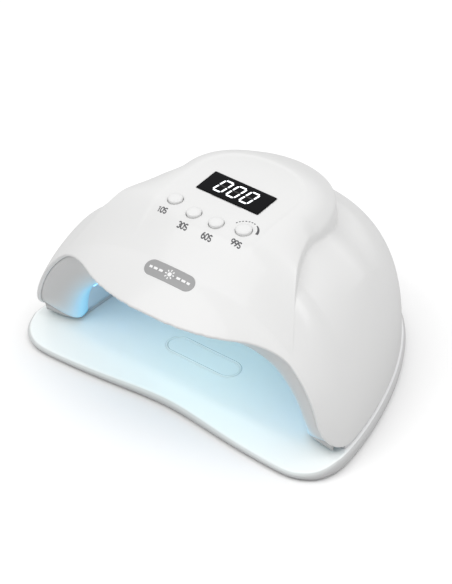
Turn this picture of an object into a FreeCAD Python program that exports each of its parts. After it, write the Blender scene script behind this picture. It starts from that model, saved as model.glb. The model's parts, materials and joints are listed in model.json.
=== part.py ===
"""UV curing lamp: a domed housing with an arched hand opening, seated on a lift-off base tray.

Millimetres. +Z is up, -Y is the front with the hand opening, the origin is on the table
under the middle of the lamp's width and depth.
"""
import FreeCAD, Part
import math
import os

import Sketcher
from FreeCAD import Placement, Rotation, Vector

DIMENSIONS = {
    # base tray
    "tray_half_width": 110.5, "tray_front": 83.2, "tray_dish": 6.0, "tray_rear": 91.5,
    "tray_bottom": 1.0, "tray_floor": 9.0, "tray_skirt": 2.5, "tray_lip_drop": 4.6,
    "ramp_length": 20.0,
    # housing
    "dome_half_width": 108.5, "dome_shoulder": -60.0, "dome_rear": 86.0, "dome_base": 10.0,
    "dome_height": 104.0, "dome_front": 91.0, "dome_front_drop": 29.0, "leg_tuck": 6.0,
    "shoulder_rise": 4.2, "wall": 2.5, "shell_bottom": 11.5, "seat_gap": 0.1,
    # opening
    "lip_height": 74.4, "leg_front": 69.5, "lip_radius": 11.0, "foot_radius": 22.0,
    # hand vault
    "vault_half_width": 84.0, "vault_height": 62.0, "vault_mouth": -60.0, "vault_rear": 63.0,
    "liner_wall": 2.0,
    # control panel
    "panel_y": -14.0, "panel_z": 112.4, "panel_tilt": 4.2, "panel_half_width": 35.0,
    "window_length": 43.0, "window_depth": 17.5, "window_shift": 0.65, "window_thick": 1.2,
    "window_gap": 0.1, "head_radius": 50.5, "head_middle": -4.0, "head_fall": 12.5,
    "head_side_fall": 8.5,
    "sight_length": 38.0, "sight_depth": 12.5,
    "board_length": 62.0, "board_depth": 48.0, "board_thick": 1.6, "board_drop": 9.0,
    "board_offset": -12.0,
    # buttons
    "button_radius": 4.2, "large_button_radius": 4.6, "button_gap": 0.15, "button_crown": 1.6,
    "button_flange": 1.0, "button_travel": 0.6, "outer_button_x": 23.9, "inner_button_x": 7.8,
    "outer_button_y": -23.3, "inner_button_y": -27.0,
    "switch_side": 6.0, "switch_height": 2.9, "plunger_radius": 1.6, "plunger_height": 1.0,
    # badge
    "badge_length": 34.0, "badge_width": 10.2, "badge_thick": 0.8,
    # small parts
    "magnet_radius": 4.0, "magnet_thick": 2.0, "foot_pad_radius": 6.0,
    "screw_radius": 1.0, "screw_head_radius": 2.0, "bead_radius": 2.4,
    "jack_length": 14.0, "jack_width": 9.0, "jack_height": 11.0, "jack_bore_radius": 3.2,
    "jack_bore_depth": 9.5,
}
BUTTONS = ("10s", "30s", "60s", "99s")
FLATNESS = 2.5
REAR_FLATNESS = 2.2


doc = FreeCAD.newDocument("uv_curing_lamp")
sheet = doc.addObject("Spreadsheet::Sheet", "Sizes")
for row, (alias, value) in enumerate(DIMENSIONS.items(), start=1):
    sheet.set(f"A{row}", alias)
    sheet.set(f"B{row}", str(value))
    sheet.setAlias(f"B{row}", alias)
doc.recompute()

pieces = []


def size(alias):
    """A driving dimension from the sheet, as a plain number."""
    return float(sheet.get(alias))


def keep(piece, label):
    """Names a finished sub-part, so that it is written out."""
    piece.Label = label
    pieces.append(piece)
    return piece


def feature(label, shape, placement=Placement()):
    """A sub-part whose free-form shape is computed below."""
    piece = doc.addObject("Part::Feature", label)
    piece.Shape = shape
    piece.Placement = placement
    return keep(piece, label)


# --- the housing's free-form surfaces -------------------------------------------------------

def eased(share):
    """An eased step from 0 to 1."""
    share = min(max(share, 0.0), 1.0)
    return share * share * (3 - 2 * share)


def dome_half_width(y, inset):
    """Half-width of the dome's footprint at a distance y from the origin."""
    shoulder = size("dome_shoulder")
    share = (y - shoulder) / (size("dome_rear") - inset - shoulder)
    share = min(max(share, 0.0), 1.0)
    tuck = size("leg_tuck") * (max(-45.0 - y, 0.0) / 27.0) ** 2
    return (size("dome_half_width") - inset - tuck) * (1 - share ** 1.5) ** (1 / FLATNESS)


def dome_crown(y, inset):
    """Height of the dome's crest above the table along its middle line."""
    base = size("dome_base")
    rise = size("dome_height") - inset - base
    if y > 0:
        share = min(y / (size("dome_rear") - inset), 1.0)
        return base + rise * (1 - share ** REAR_FLATNESS) ** (1 / REAR_FLATNESS)
    slope_start = -20.0
    share = max(slope_start - y - inset * 0.5, 0.0) / (size("dome_front") + slope_start)
    return base + rise - size("dome_front_drop") * share ** 2.1


def side_flatness(y):
    """How square-shouldered the dome's section is: a little slacker over the legs."""
    return FLATNESS - 0.25 * eased((-5.0 - y) / 45.0)


def dome_height(x, y, inset):
    """Height of the dome's surface over the point x, y."""
    base = size("dome_base")
    half_width = dome_half_width(y, inset)
    if abs(x) >= half_width or y >= size("dome_rear") - inset:
        return 0.0
    power = side_flatness(y)
    share = 1 - (abs(x) / half_width) ** power
    return base + (dome_crown(y, inset) - base) * share ** (1 / power)


def shoulder_rise(x, y):
    """A gentle swelling of the dome on both sides of its raised head."""
    along = eased((y + 60.0) / 25.0) * (1 - eased((y - 2.0) / 22.0))
    return size("shoulder_rise") * along * (1 - eased((abs(x) - 68.0) / 36.0))


def dome_breadth(y, z, inset):
    """Half-breadth of the dome at the height z of the section at y."""
    base = size("dome_base")
    rise = dome_crown(y, inset) - base
    share = min((z - base) / rise, 1.0)
    power = side_flatness(y)
    return dome_half_width(y, inset) * (1 - share ** power) ** (1 / power)


def closed_curve(points):
    """A smooth closed wire through the points."""
    curve = Part.BSplineCurve()
    curve.interpolate(points, PeriodicFlag=True)
    return Part.Wire(curve.toShape())


def dome_slice(z, inset, count=48):
    """The dome's closed outline at one level, found outwards from the middle."""
    middle = -20.0
    points = []
    for step in range(count):
        angle = 2 * math.pi * step / count + math.pi / 2
        near, far = 0.0, 160.0
        for _ in range(40):
            reach = (near + far) / 2
            x = reach * math.cos(angle)
            y = middle + reach * math.sin(angle)
            if dome_height(x, y, inset) + shoulder_rise(x, y) > z:
                near = reach
            else:
                far = reach
        points.append(Vector(near * math.cos(angle), middle + near * math.sin(angle), z))
    return closed_curve(points)


def dome_solid(inset):
    """The dome filled solid, drawn in by the inset."""
    levels = [size("shell_bottom"), 24, 38, 52, 65, 76, 85, 92, 97.5]
    slices = [dome_slice(z - (0 if z < 20 else inset * z / 104), inset) for z in levels]
    crest = dome_slice(size("dome_height") - inset - 1.5, inset)
    return Part.makeLoft(slices + [crest], True, False)


def side_profile(points):
    """A closed flat face in the Y-Z plane."""
    corners = [Vector(0, y, z) for y, z in points]
    return Part.Face(Part.makePolygon(corners + [corners[0]]))


def across(face, half_width):
    """The face swept from -half_width to half_width along X."""
    face.translate(Vector(-half_width, 0, 0))
    return face.extrude(Vector(2 * half_width, 0, 0))


def head_crown(y):
    """Height of the raised head's top along the middle line: a tilted flat, easing off behind."""
    tilt = math.tan(math.radians(size("panel_tilt")))
    flat = size("panel_z") + (y - size("panel_y")) * tilt
    return flat - 0.004 * max(y, 0.0) ** 2


def head_edge(y):
    """Half-width of the raised head's outer edge: round behind, flaring out to the front."""
    radius, middle = size("head_radius"), size("head_middle")
    if y > middle:
        return math.sqrt(max(radius ** 2 - (y - middle) ** 2, 0.0))
    return radius + 14.0 * ((middle - y) / 38.0) ** 1.6


def head_share(x, y):
    """0 on the head's flat top, rising to 1 at its outer edge."""
    radius, middle = size("head_radius"), size("head_middle")
    half = size("panel_half_width")
    if y <= middle:
        return min(max((abs(x) - half) / (head_edge(y) - half), 0.0), 1.2)
    reach = math.hypot(x, y - middle)
    turn = abs(x) / max(reach, 1e-6)
    inner = 26.0 + (half - 26.0) * turn ** 2
    return min(max((reach - inner) / (radius - inner), 0.0), 1.2)


def head_height(x, y, inset):
    """Height of the raised head over x, y: its top, rounded off to its edge, or the front face."""
    middle = size("head_middle")
    turn = min(max((y - middle) / size("head_radius"), 0.0), 1.0)
    fall = size("head_fall") - 6.0 * turn ** 2
    fall -= (size("head_fall") - size("head_side_fall")) * eased((middle + 2.0 - y) / 14.0)
    top = head_crown(y) - fall * head_share(x, y) ** 1.7 - inset
    ahead = min(max((y + 70.0) / 35.0, 0.0), 1.0)
    face = dome_height(x, min(y, 26.0), inset) + 12.0 * eased(ahead) - 0.4 * (1 - ahead)
    blend = 2.5
    mix = min(max(0.5 + 0.5 * (face - top) / blend, 0.0), 1.0)
    return face * (1 - mix) + top * mix - blend * mix * (1 - mix)


def head_solid(inset):
    """The raised head with the control panel on top, its side wall set in by the inset."""
    columns = [-72 + 6.0 * k for k in range(25)]
    rows = [-78 + 4.5 * k for k in range(30)]
    grid = [[Vector(x, y, head_height(x, y, inset)) for x in columns] for y in rows]
    surface = Part.BSplineSurface()
    surface.interpolate(grid)
    under = surface.toShape().extrude(Vector(0, 0, -60))
    half = [(0, size("head_middle") + size("head_radius") - inset)]
    for y in (44, 40, 34, 27, 18, 8, -4, -15, -26, -36, -46, -58, -70):
        half.append((max(head_edge(y) - inset, 6.0 * (46 - y) ** 0.5 * 0.5), y))
    ring = half + [(-x, y) for x, y in reversed(half[1:])]
    plan = Part.Face(closed_curve([Vector(x, y, 80) for x, y in ring]))
    return under.common(plan.extrude(Vector(0, 0, 60)))


def lip_side():
    """The opening's edge from the side, from the crest down to the foot, as y, z points."""
    leg = -size("leg_front")
    lip = size("lip_height")
    top = size("lip_radius")
    foot = size("foot_radius")
    floor = size("shell_bottom")
    points = [(-size("dome_front") - 1.0, lip), (leg - top, lip)]
    for step in range(1, 7):
        angle = math.radians(90 - 15 * step)
        points.append((leg - top + top * math.cos(angle), lip - top + top * math.sin(angle)))
    points += [(leg, 52), (leg, floor + foot)]
    for step in range(1, 7):
        angle = math.radians(15 * step)
        points.append((leg + foot - foot * math.cos(angle), floor + foot - foot * math.sin(angle)))
    return points


def opening_cutter():
    """Everything in front of and below the opening's edge."""
    edge = lip_side()
    tail = [(edge[-1][0], -5), (-170, -5), (-170, edge[0][1])]
    return across(side_profile(edge + tail), 130)


# --- building blocks --------------------------------------------------------------------------

def body_of(label):
    """An empty body, with the feature-adding and sketching helpers below."""
    return doc.addObject("PartDesign::Body", label)


def origin_plane(body, role):
    """One of the body's own origin planes."""
    return next(item for item in body.Origin.OriginFeatures if item.Role == role)


def sketch_on(body, name, role="XY_Plane", lift=None):
    """A sketch on the body's own plane, lifted along its normal by an expression."""
    sketch = body.newObject("Sketcher::SketchObject", name)
    sketch.AttachmentSupport = [(origin_plane(body, role), "")]
    sketch.MapMode = "FlatFace"
    if lift:
        sketch.setExpression("AttachmentOffset.Base.z", lift)
    return sketch


def draw_rectangle(sketch, length, depth):
    """A rectangle centred on the sketch's origin, bound to two expressions."""
    corners = [(-5, -5), (5, -5), (5, 5), (-5, 5)]
    for (ax, ay), (bx, by) in zip(corners, corners[1:] + corners[:1]):
        sketch.addGeometry(Part.LineSegment(Vector(ax, ay, 0), Vector(bx, by, 0)))
    for side in range(4):
        sketch.addConstraint(Sketcher.Constraint("Coincident", side, 2, (side + 1) % 4, 1))
    for side, way in enumerate(("Horizontal", "Vertical", "Horizontal", "Vertical")):
        sketch.addConstraint(Sketcher.Constraint(way, side))
    sketch.addConstraint(Sketcher.Constraint("Symmetric", 0, 1, 2, 1, -1, 1))
    bind(sketch, Sketcher.Constraint("DistanceX", 0, 1, 0, 2, 10), length)
    bind(sketch, Sketcher.Constraint("DistanceY", 1, 1, 1, 2, 10), depth)


def bind(sketch, constraint, expression):
    """Adds a dimension to the sketch and ties it to the sheet."""
    index = sketch.addConstraint(constraint)
    sketch.setExpression(f"Constraints[{index}]", expression)


def pad(body, sketch, length):
    """Pads the sketch along +Z by an expression."""
    step = body.newObject("PartDesign::Pad", "Pad")
    step.Profile = sketch
    step.setExpression("Length", length)
    sketch.Visibility = False
    return step


def pocket(body, sketch, length, upwards=False):
    """Cuts the sketch out of the body, downwards unless told otherwise."""
    step = body.newObject("PartDesign::Pocket", "Pocket")
    step.Profile = sketch
    step.Reversed = upwards
    step.setExpression("Length", length)
    return step


def plate(label, length, depth, thick, placement):
    """A rectangular plate standing on its own origin."""
    body = body_of(label)
    sketch = sketch_on(body, "outline")
    draw_rectangle(sketch, length, depth)
    pad(body, sketch, thick)
    body.Placement = placement
    return keep(body, label)


def panel_place(x, y, z):
    """A placement on the tilted control panel: z is measured out of the panel."""
    tilt = Rotation(Vector(1, 0, 0), size("panel_tilt"))
    origin = Vector(0, size("panel_y"), size("panel_z"))
    return Placement(origin, tilt).multiply(Placement(Vector(x, y, z), Rotation()))


def discs(label, centres, radius, height):
    """A set of identical upright discs: each centre is x, y, z."""
    members = []
    for index, (x, y, z) in enumerate(centres):
        disc = doc.addObject("Part::Cylinder", f"{label}_{index + 1}")
        disc.setExpression("Radius", radius)
        disc.setExpression("Height", height)
        disc.Placement = Placement(Vector(x, y, z), Rotation())
        members.append(disc)
    group = doc.addObject("Part::Compound", label)
    group.Links = members
    return keep(group, label)


def post(radius, height, x, y, z):
    """An upright cylinder's shape."""
    return Part.makeCylinder(radius, height, Vector(x, y, z))


# --- places shared by pieces that meet --------------------------------------------------------

MAGNETS = [(95, -42), (-95, -42), (55, 57), (-55, 57)]
FRAME_SCREWS = [(98, -22), (-98, -22), (85.2, 12), (-85.2, 12), (34, 76), (-34, 76)]
FEET = [(90, -62), (-90, -62), (38, 70), (-38, 70)]
BOARD_SCREWS = [(27, 8), (-27, 8), (27, -32.5), (-27, -32.5)]


# --- the base tray ----------------------------------------------------------------------------

def tray_outline(inset, z):
    """The tray's closed outline: a dished front edge, round corners and a swept back."""
    wide, rear, front = size("tray_half_width"), size("tray_rear"), size("tray_front")
    right = [(0, rear)]
    for y in (rear - 3, 80, 66, 50, 32, 12, -10, -34, -56):
        share = max((y + 57.0) / (rear + 57.0), 0.0)
        right.append((wide * (1 - share ** 1.4) ** (1 / FLATNESS), y))
    right += [(wide - 1.5, -front + 15.4), (wide - 6, -front + 7.4), (wide - 14.5, -front + 1.9)]
    right += [(wide - 26, -front), (63, -front + 0.7), (42, -front + 2.4)]
    right += [(22, -front + 4.6), (0, -front + size("tray_dish"))]
    ring = right + [(-x, y) for x, y in reversed(right[1:-1])]
    narrow = (wide - inset) / wide
    middle = (rear - front) / 2
    short = 1 - 2 * inset / (rear + front)
    return closed_curve([Vector(x * narrow, middle + (y - middle) * short, z) for x, y in ring])


def ramp_cutter(lift):
    """What lies above the tray's sloped front edge, from a given height of its floor."""
    front, drop, run = size("tray_front"), size("tray_lip_drop"), size("ramp_length")
    far = front + 10
    fall = (far - front + run) / run * drop
    start = run - front
    return across(side_profile([(start, lift), (-far, lift - fall), (-far, 30), (start, 30)]), 130)


def make_base_tray():
    """The lift-off tray: a moulding with a skirt, a sloped front, and posts for its magnets."""
    bottom, floor, skirt = size("tray_bottom"), size("tray_floor"), size("tray_skirt")
    rings = [(1.8, bottom), (0.5, bottom + 2), (0.0, floor - 3), (0.3, floor - 1), (1.4, floor)]
    tray = Part.makeLoft([tray_outline(inset, z) for inset, z in rings], True, False)
    tray = tray.cut(ramp_cutter(floor))
    floor_thick = 1.8
    hollow = Part.Face(tray_outline(skirt + 1.5, 0)).extrude(Vector(0, 0, floor - floor_thick))
    hollow = hollow.cut(ramp_cutter(floor - floor_thick))
    for x, y in FEET:
        hollow = hollow.cut(post(size("foot_pad_radius") + 1.5, floor, x, y, 0))
    magnet_wall = 1.5
    for x, y in MAGNETS:
        hollow = hollow.cut(post(size("magnet_radius") + magnet_wall, floor, x, y, floor - 5))
    tray = tray.cut(hollow)
    for x, y in MAGNETS:
        seat = post(size("magnet_radius") + 0.1, floor, x, y, -0.8)
        tray = tray.cut(seat)
    oval = capsule(50.0, 14.6, 0.5, Vector(-6, -35.5, floor))
    inner = capsule(48.4, 13.0, 2.0, Vector(-6, -35.5, floor - 0.01))
    tray = tray.fuse(oval.cut(inner))
    return feature("base_tray", tray.removeSplitter())


def capsule(length, width, height, base):
    """A flat bar with round ends, along X, its middle standing at base."""
    radius = width / 2
    half = length / 2 - radius
    bar = Part.makeBox(2 * half, width, height, Vector(-half, -radius, 0))
    ends = [post(radius, height, side * half, 0, 0) for side in (-1, 1)]
    shape = bar.fuse(ends).removeSplitter()
    shape.translate(base)
    return shape


def make_tray_feet():
    discs("tray_feet", [(x, y, 0) for x, y in FEET], "Sizes.foot_pad_radius", "Sizes.tray_bottom")


def make_magnets():
    """Four magnets under the tray's floor, and four more in the housing's base frame."""
    thick = size("magnet_thick")
    low = size("tray_floor") - 0.8 - thick
    high = size("tray_floor") + size("seat_gap") + 0.4
    discs("tray_magnets", [(x, y, low) for x, y in MAGNETS],
          "Sizes.magnet_radius", "Sizes.magnet_thick")
    discs("frame_magnets", [(x, y, high) for x, y in MAGNETS],
          "Sizes.magnet_radius", "Sizes.magnet_thick")


# --- the housing ------------------------------------------------------------------------------

def window_opening():
    """The window's shallow seat in the panel and the sight hole through it."""
    gap = size("window_gap")
    seat = Part.makeBox(size("window_length") + 2 * gap, size("window_depth") + 2 * gap, 20)
    seat.translate(Vector(-size("window_length") / 2 - gap, -size("window_depth") / 2 - gap,
                          -size("window_thick") - 0.02))
    sight = Part.makeBox(size("sight_length"), size("sight_depth"), 20)
    sight.translate(Vector(-size("sight_length") / 2, -size("sight_depth") / 2, -10))
    opening = seat.fuse(sight)
    opening.Placement = panel_place(0, size("window_shift"), 0)
    return opening


def button_spots():
    """Name, x, y and radius of each button on the panel."""
    across_x = [-size("outer_button_x"), -size("inner_button_x"),
                size("inner_button_x"), size("outer_button_x")]
    along = [size("outer_button_y"), size("inner_button_y")]
    along = [along[0], along[1], along[1], along[0]]
    radii = [size("button_radius")] * 3 + [size("large_button_radius")]
    return list(zip(BUTTONS, across_x, along, radii))


def badge_place():
    """The badge lies on the sloped front face."""
    return Placement(Vector(0, -71.5, 88.6), Rotation(Vector(1, 0, 0), 35.5))


def make_outer_shell():
    """The white dome: hollow, cut open at the front, with its raised head and screw posts."""
    wall = size("wall")
    outside = dome_solid(0).fuse(head_solid(0))
    cavity = dome_solid(wall).fuse(head_solid(wall))
    for x, y in FRAME_SCREWS:
        cavity = cavity.cut(post(2.4, 45, x, y, 0))
    for x, y in BOARD_SCREWS:
        boss = Part.makeCylinder(2.6, 20, Vector(x, y, -size("board_drop")))
        boss.Placement = panel_place(0, 0, 0)
        cavity = cavity.cut(boss)
    shell = outside.cut(cavity).cut(opening_cutter())
    shell = shell.cut(window_opening())
    for _, x, y, radius in button_spots():
        hole = Part.makeCylinder(radius + size("button_gap"), 30, Vector(0, 0, -15))
        hole.Placement = panel_place(x, y, 0)
        shell = shell.cut(hole)
    pilot = size("screw_radius") + 0.05
    for x, y in FRAME_SCREWS:
        shell = shell.cut(post(pilot, 12.5, x, y, size("shell_bottom") - 1))
    for x, y in BOARD_SCREWS:
        hole = Part.makeCylinder(pilot, 5.5, Vector(0, 0, -size("board_drop") - 1))
        hole.Placement = panel_place(x, y, 0)
        shell = shell.cut(hole)
    badge = capsule(size("badge_length") + 0.2, size("badge_width") + 0.2, 6, Vector(0, 0, -0.5))
    badge.Placement = badge_place()
    shell = shell.cut(badge).cut(jack_block(0.2))
    solids = sorted(shell.Solids, key=lambda solid: solid.Volume)
    return feature("outer_shell", solids[-1])


def jack_block(gap):
    """The power jack's envelope at the back of the housing, lying along Y."""
    length, width, height = size("jack_length"), size("jack_width"), size("jack_height")
    back = size("dome_rear") + 1.0
    corner = Vector(-width / 2 - gap, back - length - gap, 17 - gap)
    return Part.makeBox(width + 2 * gap, length + 2 * gap, height + 2 * gap, corner)


def liner_half_width(y, extra):
    """Outer half-width of the vault's footprint at y, widened by extra."""
    mouth, rear = size("vault_mouth"), size("vault_rear") + 2
    share = min(max((y - mouth) / (rear - mouth), 0.0), 1.0)
    full = size("vault_half_width") + size("liner_wall")
    return full * (1 - share ** 3.9) ** (1 / FLATNESS) + extra


def liner_crown(y, extra):
    """Outer height of the vault's crest at y, raised by extra."""
    mouth, rear = size("vault_mouth"), size("vault_rear") + 2
    share = min(max((y - mouth) / (rear - mouth), 0.0), 1.0)
    base = size("shell_bottom")
    rise = size("vault_height") + size("liner_wall") - base
    return base + rise * (1 - share ** 5) ** (1 / FLATNESS) + extra


def arch_point(y, angle, extra):
    """A point on the vault's arch at y: angle runs from 0 on the right to pi on the left."""
    base = size("shell_bottom")
    power = 2 / 2.3
    half, crown = liner_half_width(y, extra), liner_crown(y, extra)
    side = math.copysign(abs(math.cos(angle)) ** power, math.cos(angle))
    return Vector(half * side, y, base + (crown - base) * max(math.sin(angle), 0) ** power)


def arch_section(y, extra, start=0.0, steps=18):
    """The closed section of the vault at y."""
    angles = [start + (math.pi - 2 * start) * k / steps for k in range(steps + 1)]
    points = [arch_point(y, angle, extra) for angle in angles]
    curve = Part.BSplineCurve()
    curve.interpolate(points)
    return Part.Wire([curve.toShape(), Part.makeLine(points[-1], points[0])])


def vault_solid(extra, mouth_shift, rear_shift):
    """The vault filled solid."""
    stations = [size("vault_mouth") - mouth_shift, -30, 0, 20, 35, 46, 54]
    stations.append(size("vault_rear") - 3 + rear_shift)
    return Part.makeLoft([arch_section(y, extra) for y in stations], True, False)


LED_ROWS = [-42.5, -20.0, 2.0]
SENSOR_Y = -54.0
LED_ANGLES = [math.radians(angle) for angle in (20, 38, 56, 73, 90, 107, 124, 142, 160)]


def led_place(y, angle):
    """Where a light source sits in the vault's wall, its z axis pointing into the hand space."""
    here = arch_point(y, angle, 0)
    ahead = arch_point(y, angle + 0.02, 0) - arch_point(y, angle - 0.02, 0)
    inward = Vector(0, 1, 0).cross(ahead).normalize()
    if inward.dot(Vector(0, 0, 30) - Vector(here.x, 0, here.z)) < 0:
        inward = inward.negative()
    return Placement(here, Rotation(Vector(0, 0, 1), inward))


def light_rod(radius, start, length, y, angle):
    """A short rod on a light source's axis, from start mm inside the vault wall's outer face."""
    rod = Part.makeCylinder(radius, length, Vector(0, 0, start))
    rod.Placement = led_place(y, angle)
    return rod


def make_inner_liner():
    """The vaulted reflector over the hand, pierced for every light source."""
    wall = size("liner_wall")
    liner = vault_solid(0, 0, 0).cut(vault_solid(-wall, 5, -wall))
    holes = [light_rod(size("bead_radius") + 0.2, -3, 8, y, angle)
             for y in LED_ROWS for angle in LED_ANGLES]
    holes += [post(1.7, 14, x, SENSOR_Y, size("vault_height") - 8) for x in (-7, 7)]
    return feature("inner_liner", liner.cut(Part.makeCompound(holes)))


def make_leds():
    """The light sources, and the three flexible strips that carry them over the vault."""
    beads = []
    for y in LED_ROWS:
        for angle in LED_ANGLES:
            beads.append(light_rod(size("bead_radius"), -1.15, 3.6, y, angle))
    feature("led_beads", Part.makeCompound(beads))
    for name, y in zip(("front", "middle", "rear"), LED_ROWS):
        outer = Part.Face(arch_section(y - 6, 2.4, 0.12, 40)).extrude(Vector(0, 12, 0))
        inner = Part.Face(arch_section(y - 6, 1.4, 0.0, 40)).extrude(Vector(0, 12, 0))
        strip = outer.cut(inner)
        beads_gap = [light_rod(size("bead_radius") + 0.1, -1.3, 4, y, a) for a in LED_ANGLES]
        feature(f"led_strip_{name}", strip.cut(Part.makeCompound(beads_gap)))


def make_opening_bezel():
    """The grey funnel between the shell's edge and the vault's mouth."""
    thick = 1.6
    gap = 0.35
    mouth_y = size("vault_mouth") - 0.1
    crest_y = lip_crest()
    right = [Vector(0, crest_y, size("lip_height"))]
    for y, z in lip_side():
        if crest_y + 1 < y < mouth_y - 0.1:
            right.append(Vector(dome_breadth(y, z, size("wall") + gap), y, z))
    lip = [Vector(-p.x, p.y, p.z) for p in reversed(right[1:])] + right
    mouth = []
    for k in range(len(lip)):
        angle = math.pi * (1 - k / (len(lip) - 1))
        mouth.append(arch_point(mouth_y, angle, -size("liner_wall")))
    behind_mouth = []
    for point in mouth:
        outward = Vector(point.x / 100, 0, (point.z - size("shell_bottom")) / 60)
        behind_mouth.append(point + outward.normalize() * thick)
    front_mouth = [point - Vector(0, 0.7, 0) for point in mouth]
    behind_lip = [point + Vector(0, thick, 0) for point in lip]
    edges = []
    for points in (lip, front_mouth, behind_mouth, behind_lip):
        curve = Part.BSplineCurve()
        curve.interpolate(points)
        edges.append(curve.toShape())
    ring = edges + edges[:1]
    faces = [Part.makeRuledSurface(a, b) for a, b in zip(ring, ring[1:])]
    for end in (0, 1):
        corners = [edge.Vertexes[end].Point for edge in edges]
        for third in (2, 3):
            triangle = [corners[0], corners[third - 1], corners[third]]
            faces.append(Part.Face(Part.makePolygon(triangle + triangle[:1])))
    skin = Part.makeShell(faces)
    skin.sewShape()
    bezel = Part.makeSolid(skin)
    if bezel.Volume < 0:
        bezel.reverse()
    return feature("opening_bezel", bezel)


def lip_crest():
    """Where the opening's edge meets the dome's middle line."""
    near, far = -size("dome_front") - 4, -60.0
    for _ in range(40):
        middle = (near + far) / 2
        if dome_crown(middle, size("wall")) > size("lip_height"):
            far = middle
        else:
            near = middle
    return far


def make_base_frame():
    """The flat ring that closes the housing underneath and carries its magnets."""
    bottom = size("tray_floor") + size("seat_gap")
    top = size("shell_bottom")
    ring = Part.Face(dome_slice(bottom + 1.0, 1.2))
    ring.translate(Vector(0, 0, -1.0))
    ring = ring.extrude(Vector(0, 0, top - bottom))
    floor_plan = [arch_point(y, 0, -size("liner_wall") + 0.2) for y in (-60, -40, -20, 0, 20, 35)]
    floor_plan += [arch_point(y, 0, -size("liner_wall")) for y in (46, 54, 59)]
    right = [Vector(p.x, p.y, 0) for p in floor_plan]
    left = [Vector(-p.x, p.y, 0) for p in reversed(right)]
    corners = [Vector(right[0].x, -160, 0)] + right + left + [Vector(left[-1].x, -160, 0)]
    hand = Part.Face(Part.makePolygon(corners + corners[:1])).extrude(Vector(0, 0, 30))
    front = Part.makeBox(260, 120, 30, Vector(-130, -172, 0))
    ring = ring.cut(hand).cut(front)
    for x, y in MAGNETS:
        ring = ring.cut(post(size("magnet_radius") + 0.1, 10, x, y, bottom + 0.4))
    for x, y in FRAME_SCREWS:
        ring = ring.cut(post(size("screw_radius") + 0.2, 20, x, y, 0))
        ring = ring.cut(post(size("screw_head_radius") + 0.2, 1.2 + bottom, x, y, 0))
    return feature("base_frame", ring)


def make_frame_screws():
    """Countersunk screws up through the base frame into the shell's posts."""
    bottom = size("tray_floor") + size("seat_gap")
    screws = []
    for x, y in FRAME_SCREWS:
        head = post(size("screw_head_radius"), 1.0, x, y, bottom + 0.2)
        screws.append(head.fuse(post(size("screw_radius"), 9.0, x, y, bottom + 1.2)))
    return feature("frame_screws", Part.makeCompound(screws))


# --- the control panel ------------------------------------------------------------------------

def make_window():
    """The black display window, flush in the raised head."""
    plate("display_window", "Sizes.window_length", "Sizes.window_depth", "Sizes.window_thick",
          panel_place(0, size("window_shift"), -size("window_thick")))


def make_control_board():
    """The circuit board hung under the panel, drilled for its four screws."""
    body = body_of("control_board")
    outline = sketch_on(body, "outline")
    draw_rectangle(outline, "Sizes.board_length", "Sizes.board_depth")
    pad(body, outline, "Sizes.board_thick")
    holes = sketch_on(body, "screw_holes", lift="Sizes.board_thick")
    for x, y in BOARD_SCREWS:
        index = holes.addGeometry(
            Part.Circle(Vector(x, y - size("board_offset"), 0), Vector(0, 0, 1), 1.2))
        bind(holes, Sketcher.Constraint("Radius", index, 1.2), "Sizes.screw_radius + 0.2")
    pocket(body, holes, "Sizes.board_thick")
    drop = size("board_drop") + size("board_thick")
    body.Placement = panel_place(0, size("board_offset"), -drop)
    return keep(body, "control_board")


def make_board_screws():
    """Four pan-head screws that hold the board up to the shell's posts."""
    head_top = -size("board_drop") - size("board_thick")
    screws = []
    for x, y in BOARD_SCREWS:
        head = Part.makeCylinder(size("screw_head_radius"), 1.4, Vector(x, y, head_top - 1.4))
        shank = Part.makeCylinder(size("screw_radius"), 5.5, Vector(x, y, head_top))
        screws.append(head.fuse(shank))
    return feature("board_screws", Part.makeCompound(screws), panel_place(0, 0, 0))


def make_display_module():
    """The three-digit light module that stands on the board behind the window."""
    height = size("board_drop") - size("wall") - 0.4
    body = body_of("display_module")
    outline = sketch_on(body, "outline")
    draw_rectangle(outline, "Sizes.sight_length + 2", "Sizes.sight_depth + 2")
    pad(body, outline, "Sizes.board_drop - Sizes.wall - 0.4")
    body.Placement = panel_place(0, size("window_shift"), -size("wall") - 0.4 - height)
    return keep(body, "display_module")


def make_switches():
    """Four tactile switches on the board, each with a plunger of its own."""
    top = -size("board_drop") + size("switch_height")
    bodies = []
    for name, x, y, _ in button_spots():
        side = size("switch_side")
        corner = Vector(x - side / 2, y - side / 2, -size("board_drop"))
        case = Part.makeBox(side, side, size("switch_height"), corner)
        well = Part.makeCylinder(size("plunger_radius") + 0.05, 9, Vector(x, y, top - 1.8))
        bodies.append(case.cut(well))
    feature("tact_switches", Part.makeCompound(bodies), panel_place(0, 0, 0))


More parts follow.
